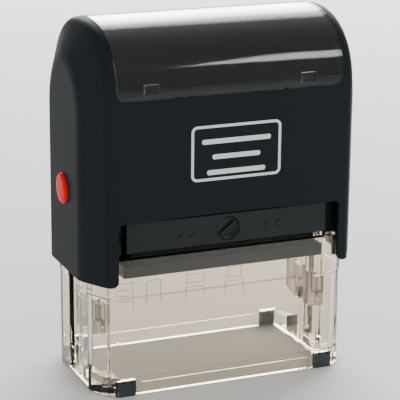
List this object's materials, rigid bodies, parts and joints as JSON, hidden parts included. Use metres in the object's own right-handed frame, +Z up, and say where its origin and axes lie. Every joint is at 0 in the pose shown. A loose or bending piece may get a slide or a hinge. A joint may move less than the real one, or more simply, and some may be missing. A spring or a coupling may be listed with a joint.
{
  "type": "self-inking stamp",
  "caption": "Self-inking rectangular stamp: black arched cap with clear index window and red lock buttons, pressed down over a clear skirted base; the die flips from ink pad to paper.",
  "frame": {"origin": "centre of the footprint, on the surface that the stamp stands on", "axes": "+Z up, the direction the cap returns in; +X to the stamp's right; +Y from the thumb dish to the rear"},
  "size_m": [0.0764, 0.0396, 0.0931],
  "materials": {
    "clear_base": "clear, slightly smoky moulded polystyrene",
    "clear_guide": "clear moulded polystyrene, tinted",
    "foot_rubber": "matte dark grey moulded rubber",
    "black_plastic": "black moulded ABS",
    "tray_plastic": "satin black moulded ABS",
    "felt": "ink-soaked felt",
    "spring_steel": "drawn spring wire",
    "cap_plastic": "fine-grained black moulded ABS",
    "clear_window": "clear glossy moulded polystyrene",
    "card": "black index card",
    "red_plastic": "glossy red moulded ABS",
    "pin_steel": "ground dowel steel",
    "foam": "closed-cell foam",
    "die_rubber": "laser-engraved rubber"
  },
  "bodies": {
    "base": {"base_frame": "clear_base", "foot_front_left": "foot_rubber", "foot_front_right": "foot_rubber", "foot_rear_left": "foot_rubber", "foot_rear_right": "foot_rubber", "flip_guide_front_left": "clear_guide", "flip_guide_front_right": "clear_guide", "flip_guide_rear_left": "clear_guide", "flip_guide_rear_right": "clear_guide", "cartridge_rail_left": "black_plastic", "cartridge_rail_right": "black_plastic", "ink_tray": "tray_plastic", "ink_felt": "felt", "spring_bridge": "black_plastic", "return_spring": "spring_steel"},
    "cap": {"cap_shell": "cap_plastic", "index_window": "clear_window", "index_card": "card"},
    "die": {"die_carrier": "black_plastic", "axle_pin_left": "pin_steel", "axle_pin_right": "pin_steel", "die_cushion": "foam", "rubber_die": "die_rubber"},
    "lock_left": {"lock_button_left": "red_plastic"},
    "lock_right": {"lock_button_right": "red_plastic"}
  },
  "joints": [
    {"name": "cap_press", "type": "slide", "parent": "base", "child": "cap", "axis": [0, 0, -1], "range_m": [0, 0.0287], "stiffness_N_per_m": 350, "springref_m": -0.012, "deforming": ["return_spring", "ink_felt"]},
    {"name": "die_flip", "type": "hinge", "parent": "cap", "child": "die", "pos_m": [0, 0, 0.033], "axis": [1, 0, 0], "range_deg": [0, 180]},
    {"name": "lock_left_press", "type": "slide", "parent": "cap", "child": "lock_left", "axis": [1, 0, 0], "range_m": [0, 0.001], "stiffness_N_per_m": 400, "springref_m": -0.001},
    {"name": "lock_right_press", "type": "slide", "parent": "cap", "child": "lock_right", "axis": [-1, 0, 0], "range_m": [0, 0.001], "stiffness_N_per_m": 400, "springref_m": -0.001}
  ],
  "couplings": [
    {"joint": "die_flip", "follows": "cap_press", "rad_per_m": 109.46}
  ]
}
